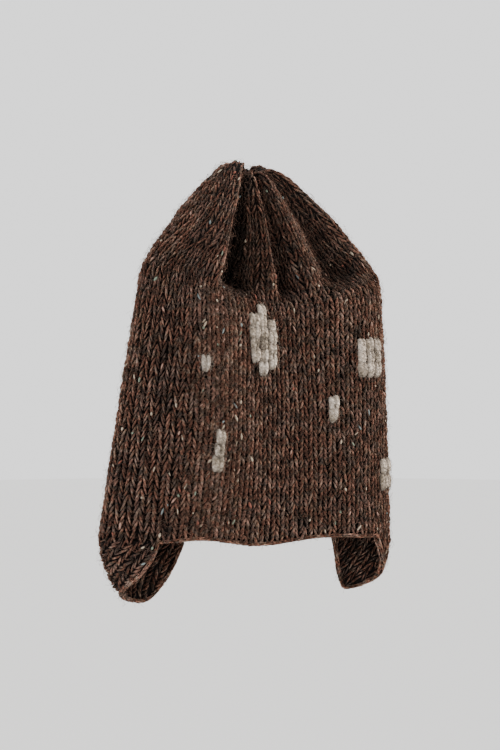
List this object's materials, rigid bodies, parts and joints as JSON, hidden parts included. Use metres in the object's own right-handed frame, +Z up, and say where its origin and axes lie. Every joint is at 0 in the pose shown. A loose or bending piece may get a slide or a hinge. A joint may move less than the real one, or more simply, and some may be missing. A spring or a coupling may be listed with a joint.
{
  "type": "knit hat with ear flaps",
  "caption": "Chunky knitted winter hat with a gathered crown, open below, two rounded ear flaps hanging from the rim and a few raised pale stitches, hanging flat by its top.",
  "frame": {"origin": "the point of the drawn-up crown that the hat hangs from", "axes": "+Z up, along the hat's length; -Y the side that faces out as it hangs, with the deep fold and the pale stitches; +Y the flat back layer; +X the wide side of the hanging hat"},
  "size_m": [0.207, 0.0455, 0.2846],
  "materials": {
    "brown_tweed_knit": "chunky brown tweed wool in stockinette",
    "brown_bound_off_edge": "bound-off edge of the same wool",
    "pale_yarn": "thick undyed pale wool, duplicate stitched"
  },
  "bodies": {
    "root": {"body": "brown_tweed_knit", "crown": "brown_tweed_knit", "ear_flap_left": "brown_tweed_knit", "ear_flap_right": "brown_tweed_knit", "bound_edge": "brown_bound_off_edge", "motif_large": "pale_yarn", "motif_block": "pale_yarn", "motif_short": "pale_yarn", "motif_long": "pale_yarn", "motif_small": "pale_yarn", "motif_side": "pale_yarn"}
  },
  "joints": []
}
